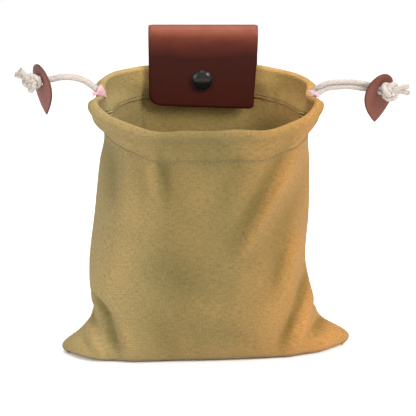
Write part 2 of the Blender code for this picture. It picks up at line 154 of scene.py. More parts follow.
def ring_frames(path):
    """Side and top directions along a path, without twisting."""
    frames = []
    side = None
    for i in range(len(path)):
        ahead = (path[min(i + 1, len(path) - 1)] - path[max(i - 1, 0)]).normalized()
        if side is None:
            side = ahead.orthogonal().normalized()
        side = (side - ahead * side.dot(ahead)).normalized()
        frames.append((side, ahead.cross(side)))
    return frames


def tube(name, path, radius, material, sides=10, braid=0.0, pitch=0.009):
    """Round cord along a path; braid raises a crossing pattern of strands on it."""
    rows = []
    reach = reach_along(path)
    for (side, top), point, at in zip(ring_frames(path), path, reach):
        row = []
        for i in range(sides):
            a = 2 * math.pi * i / sides
            lift = 1.0
            if braid:
                one = math.sin(4 * a + 2 * math.pi * at / pitch * 4 / 3)
                two = math.sin(4 * a - 2 * math.pi * at / pitch * 4 / 3)
                lift += braid * (abs(one) + abs(two) - 1.2)
            row.append(point + (side * math.cos(a) + top * math.sin(a)) * radius * lift)
        rows.append(row)
    return grid_object(name, rows, material, uv=lambda r, c: (c / sides, reach[r]), wrap=True, caps=True)


def join(name, items):
    """One object from several."""
    bm = bmesh.new()
    materials = []
    bm.loops.layers.uv.new("UVMap")
    for item in items:
        bm.from_mesh(item.data)
        materials = materials or list(item.data.materials)
    mesh = bpy.data.meshes.new(name)
    bm.to_mesh(mesh)
    bm.free()
    for material in materials:
        mesh.materials.append(material)
    for item in items:
        bpy.data.objects.remove(item)
    item = bpy.data.objects.new(name, mesh)
    bpy.context.scene.collection.objects.link(item)
    return item


def thicken(item, thickness):
    """Gives a sheet its cloth thickness, inwards, and keeps it above the ground."""
    solid = item.modifiers.new("cloth thickness", "SOLIDIFY")
    solid.thickness = thickness
    solid.offset = -1
    graph = bpy.context.evaluated_depsgraph_get()
    mesh = bpy.data.meshes.new_from_object(item.evaluated_get(graph))
    for vertex in mesh.vertices:
        vertex.co.z = max(0.0, vertex.co.z)
    item.modifiers.clear()
    item.data = mesh


# ---------------------------------------------------------------- materials

CANVAS_OLIVE, CANVAS_MID, CANVAS_TAN = (118, 103, 62), (132, 112, 68), (148, 120, 74)
CANVAS_ORANGE, CANVAS_PALE = (184, 128, 64), (158, 140, 96)


def shader_nodes(name, rough, metal=0.0):
    material = bpy.data.materials.new(name)
    material.use_nodes = True
    nodes, links = material.node_tree.nodes, material.node_tree.links
    shader = nodes["Principled BSDF"]
    shader.inputs["Roughness"].default_value = rough
    shader.inputs["Metallic"].default_value = metal
    return material, nodes, links, shader


def linear(r, g, b):
    """Linear colour of an sRGB one given from 0 to 255."""
    return tuple(c / 255 / 12.92 if c < 10 else ((c / 255 + 0.055) / 1.055) ** 2.4 for c in (r, g, b)) + (1,)


def coordinates(nodes, links, kind, scale):
    source = nodes.new("ShaderNodeTexCoord")
    mapping = nodes.new("ShaderNodeMapping")
    mapping.inputs["Scale"].default_value = scale
    links.new(source.outputs[kind], mapping.inputs["Vector"])
    return mapping.outputs["Vector"]


def noise_at(nodes, links, vector, scale=1.0, detail=3.0, distortion=0.0):
    node = nodes.new("ShaderNodeTexNoise")
    node.inputs["Scale"].default_value = scale
    node.inputs["Detail"].default_value = detail
    node.inputs["Distortion"].default_value = distortion
    links.new(vector, node.inputs["Vector"])
    return node.outputs["Fac"]


def maths(nodes, links, operation, *values, clamp=False):
    node = nodes.new("ShaderNodeMath")
    node.operation = operation
    node.use_clamp = clamp
    for socket, value in zip(node.inputs, values):
        if isinstance(value, (int, float)):
            socket.default_value = value
        else:
            links.new(value, socket)
    return node.outputs["Value"]


def ramp(nodes, links, value, stops):
    node = nodes.new("ShaderNodeValToRGB")
    elements = node.color_ramp.elements
    while len(elements) < len(stops):
        elements.new(0.5)
    for element, (at, colour) in zip(elements, stops):
        element.position = at
        element.color = colour
    links.new(value, node.inputs["Fac"])
    return node.outputs["Color"]


def blend_colour(nodes, links, share, a, b, kind="MIX"):
    node = nodes.new("ShaderNodeMix")
    node.data_type = "RGBA"
    node.blend_type = kind
    for name, value in (("Factor", share), ("A", a), ("B", b)):
        sockets = [s for s in node.inputs if s.name == name and s.enabled]
        socket = sockets[0] if name == "Factor" else sockets[-1]
        if isinstance(value, (int, float, tuple)):
            socket.default_value = value
        else:
            links.new(value, socket)
    return next(s for s in node.outputs if s.enabled)


def bump_normal(nodes, links, shader, height, distance, strength=1.0):
    node = nodes.new("ShaderNodeBump")
    node.inputs["Distance"].default_value = distance
    node.inputs["Strength"].default_value = strength
    links.new(height, node.inputs["Height"])
    links.new(node.outputs["Normal"], shader.inputs["Normal"])


def attribute(nodes, name):
    node = nodes.new("ShaderNodeAttribute")
    node.attribute_name = name
    return node.outputs["Fac"]


def canvas_material(name="khaki canvas", warmth=0.58, lift=1.0):
    """Khaki cotton canvas: plain weave in drifts of olive and tan, with painted shade in the fold grooves, a
    painted highlight on the ridges and along the rim, and painted bounce light at the foot; lift brightens
    the colour as painted light.
    """
    material, nodes, links, shader = shader_nodes(name, 0.95)
    shader.inputs["Sheen Weight"].default_value = 0.06
    shader.inputs["Specular IOR Level"].default_value = 0.15
    pitch = 0.0010
    warp = noise_at(nodes, links, coordinates(nodes, links, "UV", (1 / pitch, 0.28 / pitch, 1)), detail=2)
    weft = noise_at(nodes, links, coordinates(nodes, links, "UV", (0.20 / pitch, 0.8 / pitch, 1)), detail=2)
    threads = maths(nodes, links, "ADD", warp, weft)
    wave = {}
    for axis in ("X", "Y"):
        node = nodes.new("ShaderNodeTexWave")
        node.bands_direction = axis
        node.inputs["Scale"].default_value = 0.314 / pitch
        node.inputs["Distortion"].default_value = 0.6
        links.new(coordinates(nodes, links, "UV", (1, 1, 1)), node.inputs["Vector"])
        wave[axis] = node.outputs["Fac"]
    weave = maths(nodes, links, "MULTIPLY", wave["X"], wave["Y"])
    place = coordinates(nodes, links, "Object", (1, 1, 1))
    drift = noise_at(nodes, links, place, scale=13, detail=2, distortion=0.4)
    blotch = noise_at(nodes, links, place, scale=40, detail=3)
    base = ramp(nodes, links, drift, [(at, linear(*[c * lift for c in colour])) for at, colour in
                                      ((0.34, CANVAS_OLIVE), (0.52, CANVAS_MID), (0.70, CANVAS_TAN))])
    split = nodes.new("ShaderNodeSeparateXYZ")
    links.new(place, split.inputs["Vector"])
    warm = maths(nodes, links, "MULTIPLY_ADD", split.outputs["X"], 14.0, -0.25, clamp=True)
    tone = blend_colour(nodes, links, maths(nodes, links, "MULTIPLY", warm, warmth), base,
                        linear(*CANVAS_ORANGE))
    pale = maths(nodes, links, "MULTIPLY_ADD", split.outputs["X"], -14.0, -0.35, clamp=True)
    tone = blend_colour(nodes, links, maths(nodes, links, "MULTIPLY", pale, 0.8), tone,
                        linear(*CANVAS_PALE))
    tone = blend_colour(nodes, links, maths(nodes, links, "MULTIPLY", blotch, 0.3), tone,
                        linear(*CANVAS_OLIVE))
    # Painted shade darkens and greens the fold grooves; a painted highlight brightens the ridges and the
    # rim's rolled edge.
    painted_fold_light = ramp(nodes, links, attribute(nodes, "painted_relief_light"), ((0.05, linear(196, 206, 186)),
                  (0.5, linear(246, 246, 244)), (0.95, (1.10, 1.02, 0.96, 1))))
    tone = blend_colour(nodes, links, 1.0, tone, painted_fold_light, "MULTIPLY")
    # Painted bounce light from the floor: the canvas is paler near the base.
    painted_bounce = ramp(nodes, links, split.outputs["Z"], ((0.0, (1.18, 1.14, 1.13, 1)), (0.13, (1, 1, 1, 1))))
    tone = blend_colour(nodes, links, 1.0, tone, painted_bounce, "MULTIPLY")
    slub = ramp(nodes, links, maths(nodes, links, "MULTIPLY", threads, 0.5),
                ((0.34, (0.72, 0.72, 0.70, 1)), (0.5, (1, 1, 1, 1)), (0.66, (1.22, 1.22, 1.19, 1))))
    colour = blend_colour(nodes, links, 0.9, tone, slub, "MULTIPLY")
    links.new(colour, shader.inputs["Base Color"])
    height = maths(nodes, links, "ADD", maths(nodes, links, "MULTIPLY", threads, 0.9), weave)
    bump_normal(nodes, links, shader, height, 0.0004, 0.8)
    return material


def cotton_material(name="off-white cotton", tint=(186, 178, 168)):
    """Braided cotton cord: fine fibre speckle and soft stains."""
    material, nodes, links, shader = shader_nodes(name, 0.95)
    shader.inputs["Sheen Weight"].default_value = 0.4
    place = coordinates(nodes, links, "Object", (1, 1, 1))
    fibre = noise_at(nodes, links, place, scale=900, detail=4)
    stain = noise_at(nodes, links, place, scale=90, detail=2)
    dark = tuple(c * 0.72 for c in tint)
    base = ramp(nodes, links, fibre, ((0.32, linear(*dark)), (0.62, linear(*tint))))
    colour = blend_colour(nodes, links, maths(nodes, links, "MULTIPLY", stain, 0.4), base,
                          linear(tint[0] - 6, tint[1] - 22, tint[2] - 22))
    links.new(colour, shader.inputs["Base Color"])
    bump_normal(nodes, links, shader, fibre, 0.0005, 0.7)
    return material


def leather_material(name, deep, light, rough, coat, grain_size=0.0011):
    """Smooth leather: pebble grain, darker wear, slight waxy coat."""
    material, nodes, links, shader = shader_nodes(name, rough)
    shader.inputs["Coat Weight"].default_value = coat
    shader.inputs["Coat Roughness"].default_value = 0.28
    shader.inputs["Specular IOR Level"].default_value = 0.2
    place = coordinates(nodes, links, "Object", (1, 1, 1))
    cells = nodes.new("ShaderNodeTexVoronoi")
    cells.feature = "DISTANCE_TO_EDGE"
    cells.inputs["Scale"].default_value = 1 / grain_size
    links.new(place, cells.inputs["Vector"])
    grain = maths(nodes, links, "MULTIPLY", cells.outputs["Distance"], 3.0, clamp=True)
    cloud = noise_at(nodes, links, place, scale=45, detail=4, distortion=0.3)
    speck = noise_at(nodes, links, place, scale=900, detail=2)
    base = ramp(nodes, links, cloud, ((0.3, linear(*deep)), (0.72, linear(*light))))
    colour = blend_colour(nodes, links, maths(nodes, links, "MULTIPLY", speck, 0.5), base,
                          linear(*[c * 0.75 for c in deep]))
    links.new(colour, shader.inputs["Base Color"])
    height = maths(nodes, links, "ADD", grain, maths(nodes, links, "MULTIPLY", speck, 0.6))
    bump_normal(nodes, links, shader, height, 0.00012, 0.6)
    links.new(maths(nodes, links, "MULTIPLY_ADD", cloud, 0.25, rough - 0.12), shader.inputs["Roughness"])
    return material


# Painted light on the leather from below the snap up to the fold: share of the height, colour; a painted
# highlight over the fold and painted shade on the flap below it.
STRAP_PAINTED_LIGHT = ((0.0, linear(68, 25, 15)), (0.25, linear(66, 24, 14)), (0.55, linear(56, 16, 8)),
               (0.71, linear(104, 44, 29)), (0.86, linear(144, 80, 60)))


def strap_material():
    """Waxy leather with painted light: a painted highlight, paler and redder, over the fold, and painted
    shade on the flap below it.
    """
    material, nodes, links, shader = shader_nodes("red-brown leather", 0.46)
    shader.inputs["Specular IOR Level"].default_value = 0.14
    place = coordinates(nodes, links, "Object", (1, 1, 1))
    split = nodes.new("ShaderNodeSeparateXYZ")
    links.new(place, split.inputs["Vector"])
    stretched = coordinates(nodes, links, "Object", (14, 60, 60))
    streak = noise_at(nodes, links, stretched, detail=4, distortion=0.3)
    wander = maths(nodes, links, "MULTIPLY_ADD", streak, 0.016, split.outputs["Z"])
    # This ramp paints a highlight over the fold and shade across the middle of the flap.
    height = ramp(nodes, links, maths(nodes, links, "MULTIPLY_ADD", wander, 12.5, -2.9), STRAP_PAINTED_LIGHT)
    cloud = noise_at(nodes, links, place, scale=55, detail=5, distortion=0.4)
    speck = noise_at(nodes, links, place, scale=1100, detail=2)
    tone = blend_colour(nodes, links, maths(nodes, links, "MULTIPLY", cloud, 0.5), height,
                        linear(46, 15, 9))
    tone = blend_colour(nodes, links, maths(nodes, links, "MULTIPLY", speck, 0.2), tone, linear(34, 12, 8))
    links.new(tone, shader.inputs["Base Color"])
    cells = nodes.new("ShaderNodeTexVoronoi")
    cells.feature = "DISTANCE_TO_EDGE"
    cells.inputs["Scale"].default_value = 900
    links.new(place, cells.inputs["Vector"])
    grain = maths(nodes, links, "ADD", maths(nodes, links, "MULTIPLY", cells.outputs["Distance"], 2.0), cloud)
    bump_normal(nodes, links, shader, grain, 0.00008, 0.5)
    return material


def thread_material(name, colour):
    material, nodes, links, shader = shader_nodes(name, 0.8)
    shader.inputs["Sheen Weight"].default_value = 0.3
    place = coordinates(nodes, links, "Object", (1, 1, 1))
    fibre = noise_at(nodes, links, place, scale=1600, detail=2)
    shade = ramp(nodes, links, fibre, ((0.3, linear(*[c * 0.78 for c in colour])), (0.7, linear(*colour))))
    links.new(shade, shader.inputs["Base Color"])
    bump_normal(nodes, links, shader, fibre, 0.0001, 0.6)
    return material


def metal_material(name, colour, rough, metal):
    """Enamelled or plated metal with faint scuffs."""
    material, nodes, links, shader = shader_nodes(name, rough, metal)
    place = coordinates(nodes, links, "Object", (1, 1, 1))
    scuff = noise_at(nodes, links, place, scale=600, detail=4)
    shade = ramp(nodes, links, scuff, ((0.35, linear(*[c * 0.8 for c in colour])), (0.7, linear(*colour))))
    links.new(shade, shader.inputs["Base Color"])
    links.new(maths(nodes, links, "MULTIPLY_ADD", scuff, 0.22, max(0.05, rough - 0.1)),
              shader.inputs["Roughness"])
    bump_normal(nodes, links, shader, scuff, 0.00003, 0.4)
    return material


# ---------------------------------------------------------------- canvas walls

# Folds as (start, end, reach, height): points are (x, z) on the wall, height is outward.
FRONT_FOLDS = (
    ((0.086, 0.222), (0.032, 0.112), 0.0062, 0.0066),
    ((0.076, 0.218), (0.021, 0.114), 0.0075, -0.0046),
    ((0.090, 0.180), (0.056, 0.112), 0.0080, -0.0026),
    ((0.084, 0.128), (0.070, 0.074), 0.0070, 0.0055),
    ((0.072, 0.124), (0.060, 0.070), 0.0085, -0.0040),
    ((0.0915, 0.080), (0.0845, 0.052), 0.0055, -0.0055),
    ((0.0845, 0.056), (0.068, 0.012), 0.0055, -0.0060),
    ((0.096, 0.062), (0.078, 0.008), 0.0060, 0.0050),
    ((0.112, 0.030), (0.096, 0.020), 0.0050, -0.0050),
    ((0.122, 0.020), (0.104, 0.005), 0.0050, 0.0030),
    ((-0.052, 0.212), (-0.045, 0.165), 0.0075, 0.0058),
    ((-0.041, 0.205), (-0.036, 0.158), 0.0070, -0.0050),
    ((-0.083, 0.210), (-0.080, 0.150), 0.0080, -0.0036),
    ((-0.068, 0.205), (-0.074, 0.120), 0.0100, 0.0030),
    ((-0.072, 0.120), (-0.088, 0.062), 0.0120, 0.0036),
    ((-0.100, 0.060), (-0.0870, 0.042), 0.0046, -0.0070),
    ((-0.0885, 0.044), (-0.080, 0.010), 0.0056, -0.0050),
    ((-0.079, 0.052), (-0.066, 0.008), 0.0080, 0.0032),
    ((-0.108, 0.036), (-0.094, 0.004), 0.0055, 0.0046),
    ((-0.110, 0.038), (-0.101, 0.030), 0.0050, -0.0055),
    ((-0.122, 0.016), (-0.102, 0.004), 0.0055, 0.0030),
    ((-0.012, 0.205), (-0.006, 0.150), 0.0140, 0.0022),
    ((0.030, 0.205), (0.012, 0.160), 0.0110, -0.0020),
    ((-0.030, 0.128), (0.024, 0.092), 0.0150, 0.0018),
    ((-0.050, 0.104), (0.000, 0.072), 0.0130, -0.0014),
    ((-0.020, 0.062), (0.040, 0.040), 0.0130, 0.0016),
    ((0.010, 0.040), (0.046, 0.016), 0.0100, -0.0014),
    ((-0.050, 0.050), (-0.030, 0.010), 0.0110, -0.0022),
)
BACK_FOLDS = (
    ((-0.075, 0.215), (-0.080, 0.120), 0.0090, 0.0030),
    ((-0.062, 0.150), (-0.085, 0.050), 0.0110, -0.0024),
    ((0.078, 0.205), (0.066, 0.090), 0.0100, 0.0030),
    ((0.020, 0.120), (0.060, 0.040), 0.0140, 0.0022),
    ((-0.020, 0.110), (-0.060, 0.030), 0.0130, 0.0024),
    ((0.102, 0.046), (0.080, 0.004), 0.0065, 0.0050),
    ((-0.102, 0.046), (-0.082, 0.004), 0.0065, 0.0050),
)
SLIT, SLIT_DEPTH, SLIT_END = 0.0036, 0.012, 0.024
PATCH_HALF, PATCH_BOTTOM = 0.056, 0.15   # the back wall doesn't bulge where the strap lies on it
STITCH = 0.00036
HEM_GAP = 0.0012             # a seam allowance keeps this far inside the hem
SEAM_TOP = 0.016             # the seam allowance ends this far below the rim
ROLL = 0.0019                # how far the padded edge of the hem stands out
BASE_RADIUS = 0.007
FRONT_FLATNESS = 3.0
BACK_FLATNESS, BACK_POINT = 5.4, 1.15   # the back wall is flat, with slanting ends


def rim_height(x, y):
    notch = 0.0035 * bump(y, 0.008)
    wave = 0.0011 * math.sin(x * 62 + 0.8) + 0.0007 * math.sin(x * 131 + y * 40)
    return RIM_SIDE + RIM_TILT * y - RIM_SAG * y * y + wave - notch


def plan(theta, height, face):
    """Outline of a wall at a height, seen from above; theta runs from the right seam to the left."""
    c = math.cos(theta)
    keys = FRONT_DEPTH if face < 0 else BACK_DEPTH
    if face < 0:
        body = math.sqrt(max(0.0, 1 - abs(c) ** FRONT_FLATNESS))
    else:
        body = max(0.0, 1 - abs(c) ** BACK_FLATNESS) ** BACK_POINT
    corner = max(0.0, 1 - c ** 4) ** 0.85
    y = face * along(keys, height) * mix(corner, body, smooth(height / EAR_HEIGHT))
    width = mix(along(RIGHT_WIDTH, height), along(LEFT_WIDTH, height), smooth(0.5 - c))
    width += LOBE * smooth((height - 0.220) / 0.014) * (1 - bump(y, LOBE_REACH)) * smooth(abs(c) / 0.8)
    x = width * c
    y += EAR_SWEEP * (x / 0.134) * (1 - smooth(height / 0.09))
    return x, y


def wall_point(theta, below_rim, face):
    x, y = plan(theta, RIM_SIDE, face)
    rim = rim_height(x, y)
    below = below_rim * mix(1, rim / RIM_SIDE, smooth((below_rim - HEM) / 0.19))
    height = (rim - below) * RIM_SIDE / rim
    x, y = plan(theta, height, face)
    return Vector((x, y, max(0.0, rim - below)))


def edge_angle(below_rim, offset, face):
    """Angle at which a wall ends, wider where the slit in its outer layer lets the cords out."""
    outer = 1 - smooth(offset / (HEM_THICK * 0.7))
    share = outer * SLIT * smooth((SLIT_END - below_rim) / (SLIT_END - SLIT_DEPTH))
    if face < 0:
        return math.acos((1 - (share / FRONT_DEPTH[-1][1]) ** 2) ** (1 / FRONT_FLATNESS))
    return math.acos((1 - (share / BACK_DEPTH[-1][1]) ** (1 / BACK_POINT)) ** (1 / BACK_FLATNESS))


def fold_height(x, z, folds):
    total = 0.0
    for (x0, z0), (x1, z1), reach, height in folds:
        run_x, run_z = x1 - x0, z1 - z0
        length = run_x * run_x + run_z * run_z
        k = ((x - x0) * run_x + (z - z0) * run_z) / length
        inside = min(max(k, 0.0), 1.0)
        off = math.hypot(x - x0 - run_x * inside, z - z0 - run_z * inside)
        taper = 0.35 + 0.65 * math.sin(math.pi * inside)
        total += height * bump(off, reach) * taper
    return total


def slack(x, y, z):
    """Gentle unevenness of loose cloth."""
    broad = noise.noise(Vector((x * 16, y * 16 + 3.1, z * 10)))
    fine = noise.noise(Vector((x * 42 + 7.7, y * 42, z * 26)))
    return 0.0024 * broad + 0.0008 * fine


def wall_rows():
    """(distance below the rim, distance inward) along the cloth: base, rim, then the hem's edge."""
    rows = []
    radius = HEM_THICK / 2
    for i in range(WALL_ROWS):
        k = i / (WALL_ROWS - 1)
        rows.append((mix(RIM_SIDE, radius, k ** 0.92), 0.0))
    for i in range(1, 10):
        a = math.pi * i / 10
        rows.append((radius * (1 - math.sin(a)), radius * (1 - math.cos(a))))
    for i in range(24):
        below = mix(radius, HEM, i / 23)
        pinch = smooth((below - 0.013) / (HEM - 0.013))
        rows.append((below, mix(HEM_THICK, HEM_EDGE, pinch)))
    return rows


def make_wall(name, face, material):
    """One canvas wall, its hem folded inside.  Returns the object, its points, the way outward at each."""
    rows = wall_rows()
    base = np.zeros((len(rows), COLUMNS + 1, 3))
    for r, (below, offset) in enumerate(rows):
        start = edge_angle(below, offset, face)
        for c in range(COLUMNS + 1):
            theta = start + (math.pi - 2 * start) * c / COLUMNS
            base[r, c] = wall_point(theta, below, face)
    outward = level_normals(base, face)
    folds = FRONT_FOLDS if face < 0 else BACK_FOLDS
    points = base.copy()
    for r, (below, offset) in enumerate(rows):
        for c in range(COLUMNS + 1):
            x, y, z = base[r, c]
            theta = math.pi * c / COLUMNS
            from_seam = smooth(math.sin(theta) / 0.22)
            from_base = smooth(z / 0.012)
            in_hem = smooth((HEM + 0.004 - below) / 0.010)
            lift = fold_height(x, z, folds) * mix(1.0, 0.25, in_hem) * max(from_seam, 0.25)
            lift += slack(x, y, z) * from_seam * from_base * mix(1.0, 0.45, in_hem)
            pucker = math.sin(x * 430 + 2 * math.sin(x * 90)) * bump(below - HEM, 0.012)
            lift += 0.00035 * pucker * from_seam
            if offset == 0:
                lift += ROLL * bump(below - 0.0045, 0.0045) - 0.0017 * bump(below - 0.0125, 0.0040)
                lift -= 0.0006 * bump(below - HEM, 0.0030)
            if z < BASE_RADIUS:
                up = BASE_RADIUS - z
                lift -= BASE_RADIUS - math.sqrt(BASE_RADIUS ** 2 - up ** 2)
            if face > 0 and abs(x) < PATCH_HALF and z > PATCH_BOTTOM:
                lift = min(lift, 0.0)
            points[r, c] += outward[r, c] * (lift - offset)
    points[:, :, 2] = np.maximum(points[:, :, 2], 0.0)
    lengths = np.cumsum([0.0] + [float(np.linalg.norm(points[r + 1, COLUMNS // 2] - points[r, COLUMNS // 2]))
                                 for r in range(len(rows) - 1)])
    item = grid_object(name, points.tolist(), material, flip=face < 0,
                       uv=lambda r, c: (CLOTH_WIDTH * c / COLUMNS, lengths[r]))
    thicken(item, CLOTH)
    paint_relief_light(item, folds)
    return item, points, outward


def paint_relief_light(item, folds):
    """Stores how far each vertex lies on a ridge or in a groove, and near the rim, for the canvas's painted
    shade in the grooves and painted highlight on the ridges and the rim.
    """
    layer = item.data.attributes.new("painted_relief_light", "FLOAT", "POINT")
    for i, vertex in enumerate(item.data.vertices):
        x, y, z = vertex.co
        # Painted highlight along the rolled edge of the rim.
        rim_highlight = 0.40 * bump(rim_height(x, y) - z, 0.0022)
        layer.data[i].value = 0.5 + 0.5 * math.tanh(fold_height(x, z, folds) / 0.0055) + rim_highlight


def level_normals(base, face):
    """Horizontal outward direction at each point of a wall."""
    run = np.gradient(base, axis=1)
    outward = np.stack([run[:, :, 1], -run[:, :, 0], np.zeros(run.shape[:2])], axis=2) * face
    return outward / np.linalg.norm(outward, axis=2, keepdims=True)


def make_floor(front, back, material):
    """Canvas under the pouch, joined edge to edge with the walls."""
    rows = []
    steps = 30
    for i in range(steps + 1):
        k = i / steps
        row = []
        for c in range(0, COLUMNS + 1, 2):
            point = Vector(mix(front[0, c], back[0, c], k))
            point.z = 0.0006 + 0.0010 * math.sin(math.pi * k) * (1 + noise.noise(point * 30))
            row.append(point)
        rows.append(row)
    item = grid_object("floor_canvas", rows, material,
                       uv=lambda r, c: (rows[r][c].x, rows[r][c].y), flip=True)
    thicken(item, FLOOR_CLOTH)
    return item


# ---------------------------------------------------------------- seams and stitches

def surface_row(points, outward, rows, below, inside):
    """Points of a wall's surface at one distance below the rim, on its outside or its inside."""
    picks = [r for r, (_, offset) in enumerate(rows) if (offset > CLOTH) == inside]
    r = min(picks, key=lambda i: abs(rows[i][0] - below))
    return [(Vector(points[r, c]), Vector(outward[r, c])) for c in range(COLUMNS + 1)]


def stitch_row(name, line, material, face_sign, length=0.0025, gap=0.0010):
    """Lockstitches along a line of (point, outward direction)."""
    reach = reach_along([point for point, _ in line])
    xs = [[(at, p[axis]) for at, (p, _) in zip(reach, line)] for axis in range(3)]
    ns = [[(at, n[axis]) for at, (_, n) in zip(reach, line)] for axis in range(3)]

    def at(keys, where):
        return Vector([float(np.interp(where, *zip(*keys[axis]))) for axis in range(3)])

    stitches = []
    for i in range(int(reach[-1] / (length + gap))):
        start = i * (length + gap)
        path = []
        for k in range(5):
            where = start + length * k / 4
            arch = math.sin(math.pi * k / 4)
            path.append(at(xs, where) + at(ns, where) * face_sign * (0.0001 + 0.0004 * arch))
        stitches.append(tube("stitch", path, STITCH, material, sides=6))
    return join(name, stitches)


def seam_line(side):
    """Where the two walls meet at one side, from the base up to the slit."""
    theta = 0.0 if side > 0 else math.pi
    line = []
    for i in range(90):
        below = mix(RIM_SIDE - 0.012, SEAM_TOP, i / 89)
        in_hem = smooth((HEM + 0.004 - below) / 0.006)
        line.append(wall_point(theta, below, -1) - Vector((side * in_hem * (HEM_THICK - HEM_GAP), 0, 0)))
    return line


def make_seam(name, side, canvas, thread):
    """Overlocked seam allowance inside the pouch, with its zigzag of thread."""
    line = seam_line(side)
    rows = []
    for i, point in enumerate(line):
        wander = 0.0006 * math.sin(i * 0.45) + 0.0004 * math.sin(i * 1.3)
        inward = Vector((-side, 0.75 + 0.10 * math.sin(i * 0.2), 0)).normalized()
        across = Vector((inward.y, -inward.x, 0)) * side
        near, far = point + inward * 0.0016, point + inward * (0.0070 + wander)
        half = across * 0.0007
        rows.append([near - half, far - half, far + half, near + half])
    strip = grid_object(name, rows, canvas, uv=lambda r, c: (c * 0.004, r * 0.0024), wrap=True, caps=True)
    turns, path = 84, []
    for i in range(turns * 4):
        k = i / (turns * 4 - 1) * (len(line) - 1)
        low = int(min(k, len(line) - 2))
        corners = [rows[low][j].lerp(rows[low + 1][j], k - low) for j in range(4)]
        path.append(corners[i % 4] + Vector((0, (-1, -1, 1, 1)[i % 4] * 0.0003, 0)))
    zigzag = tube(name + "_thread", path, 0.0005, thread, sides=5)
    return strip, zigzag


def make_bartack(name, fans, material):
    """Satin-stitched reinforcement at a cord exit: fans of thread from a tight end to a wide one."""
    strands = []
    for tight, wide_a, wide_b, count in fans:
        tight, wide_a, wide_b = Vector(tight), Vector(wide_a), Vector(wide_b)
        for i in range(count):
            k = i / (count - 1)
            end = wide_a.lerp(wide_b, k)
            start = tight.lerp(end, 0.06)
            middle = start.lerp(end, 0.5) + Vector((0, -0.0009, 0.0006))
            path = curve_through((start, middle, end), 0.0012)
            strands.append(tube("strand", path, 0.0006, material, sides=6))
    return join(name, strands)


# ---------------------------------------------------------------- cords, knots and tabs

CORD, PAIR = 0.0045, 0.0024      # diameter of a cord, half the spacing of a pair
CORD_START, CORD_RISE = 0.0912, 0.0040   # a cord starts inside the hem, at this |x| and this far down
TAB_LENGTH, TAB_HALF, TAB_THICK, TAB_WIDEST = 0.047, 0.0155, 0.0022, 0.42
TAB_HOLE, TAB_HOLE_DOWN = 0.0045, 0.015
KNOT_SIZE, KNOT_RISE = 0.00175, 0.0030
SIDES = {
    "left": {
        "sign": -1, "hole": (-0.1438, -0.0025, 0.2570), "turn": 33, "pitch": 10, "twist": 0,
        "route": ((-0.0940, 0, 0.2468), (-0.1005, 0, 0.2525), (-0.1075, 0, 0.2570), (-0.1155, 0, 0.2592),
                  (-0.1260, 0, 0.2594), (-0.1356, -0.0008, 0.2577), (-0.1438, -0.0025, 0.2570),
                  (-0.1453, -0.0029, 0.2569)),
        "knot": (-0.1525, -0.0070, 0.2565), "tails": ((-0.1605, -0.0105, 0.2682), (-0.1648, -0.0060, 0.2632)),
        "tint": (136, 84, 74),
    },
    "right": {
        "sign": 1, "hole": (0.1522, -0.0045, 0.2495), "turn": 57, "pitch": 14, "twist": 90,
        "route": ((0.0950, 0, 0.2445), (0.1005, 0, 0.2490), (0.1065, 0, 0.2518), (0.1140, 0, 0.2528),
                  (0.1270, 0, 0.2530), (0.1390, -0.0004, 0.2513), (0.1460, -0.0018, 0.2502),
                  (0.1522, -0.0045, 0.2495), (0.1535, -0.0053, 0.2494)),
        "knot": (0.1612, -0.0098, 0.2497), "tails": ((0.1748, -0.0128, 0.2545), (0.1756, -0.0110, 0.2480)),
        "tint": (118, 66, 52),
    },
}


def cord_pair(spec):
    """Centrelines of the two cords between the slit and the knot."""
    sign = spec["sign"]
    start = Vector((sign * CORD_START, 0, spec["route"][0][2] - CORD_RISE))
    centre = curve_through((start,) + spec["route"], 0.0007)
    pair = {"a": [], "b": []}
    for i, point in enumerate(centre):
        ahead = centre[min(i + 1, len(centre) - 1)] - centre[max(i - 1, 0)]
        ahead.normalize()
        across = (Vector((0, 1, 0)) - ahead * ahead.y).normalized()
        above = ahead.cross(across) * sign
        turn = math.radians(spec["twist"]) * smooth((abs(point.x) - CORD_START) / 0.012)
        offset = (across * math.cos(turn) + above * math.sin(turn)) * PAIR
        pair["a"].append(point - offset)
        pair["b"].append(point + offset)
    return pair


